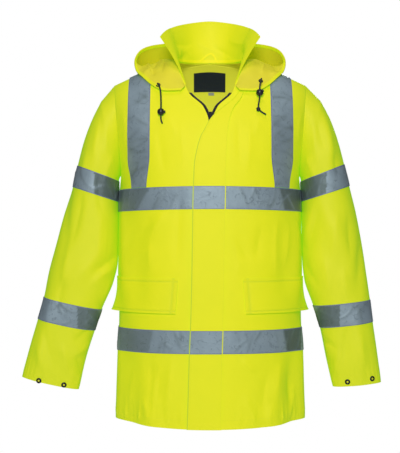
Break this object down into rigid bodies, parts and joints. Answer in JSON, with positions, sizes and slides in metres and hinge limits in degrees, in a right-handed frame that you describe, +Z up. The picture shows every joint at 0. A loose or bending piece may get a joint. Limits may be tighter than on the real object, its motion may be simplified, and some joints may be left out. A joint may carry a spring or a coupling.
{
  "type": "hooded work jacket",
  "caption": "Hip-length hi-vis work jacket, filled out and open at the neck, with reflective tape, a storm flap over the zip, flared stand collar and hood thrown back.",
  "frame": {"origin": "middle of the neck opening, at the height of the shoulders’ neck points", "axes": "+Z up towards the collar, +X to the wearer’s left, +Y to the wearer’s back"},
  "size_m": [0.8195, 0.3479, 0.9403],
  "materials": {
    "cloth": "satin",
    "reflective_tape": "satin",
    "zip_tape": "matte",
    "zip_metal": "gloss",
    "lining": "matte",
    "label": "matte",
    "size_tab": "matte",
    "cord": "matte",
    "fittings": "satin"
  },
  "bodies": {
    "jacket": {"front_right": "cloth", "front_left": "cloth", "back": "cloth", "sleeve_front_right": "cloth", "sleeve_back_right": "cloth", "sleeve_front_left": "cloth", "sleeve_back_left": "cloth", "storm_flap": "cloth", "pocket_flap_right": "cloth", "pocket_flap_left": "cloth", "collar": "cloth", "hood_right": "cloth", "hood_left": "cloth", "hanging_loop": "cloth", "chest_tape_front_right": "reflective_tape", "chest_tape_front_left": "reflective_tape", "chest_tape_back": "reflective_tape", "chest_tape_flap": "reflective_tape", "lower_tape_front_right": "reflective_tape", "lower_tape_front_left": "reflective_tape", "lower_tape_back": "reflective_tape", "lower_tape_flap": "reflective_tape", "brace_tape_right": "reflective_tape", "brace_tape_left": "reflective_tape", "sleeve_tape_upper_right": "reflective_tape", "sleeve_tape_lower_right": "reflective_tape", "sleeve_tape_upper_left": "reflective_tape", "sleeve_tape_lower_left": "reflective_tape", "zip_tape_right": "zip_tape", "zip_tape_left": "zip_tape", "zip_slider": "zip_metal", "neck_lining": "lining", "neck_label": "label", "size_tab": "size_tab", "cord_right_upper": "cord", "cord_right_tail": "cord", "cord_left_upper": "cord", "cord_left_middle": "cord", "cord_left_tail": "cord", "cord_knot": "cord", "eyelet_right": "fittings", "eyelet_left": "fittings", "cord_lock_right": "fittings", "cord_lock_left": "fittings", "cuff_stud_right_outer": "fittings", "cuff_stud_right_inner": "fittings", "cuff_stud_left_outer": "fittings", "cuff_stud_left_inner": "fittings"},
    "plunger_right": {"cord_lock_plunger_right": "fittings"},
    "plunger_left": {"cord_lock_plunger_left": "fittings"}
  },
  "joints": [
    {"name": "lock_right_press", "type": "slide", "parent": "jacket", "child": "plunger_right", "axis": [-1, 0, 0], "range_m": [0, 0.003], "stiffness_N_per_m": 300, "springref_m": -0.003},
    {"name": "lock_left_press", "type": "slide", "parent": "jacket", "child": "plunger_left", "axis": [-0.866, 0, -0.5], "range_m": [0, 0.003], "stiffness_N_per_m": 300, "springref_m": -0.003}
  ]
}
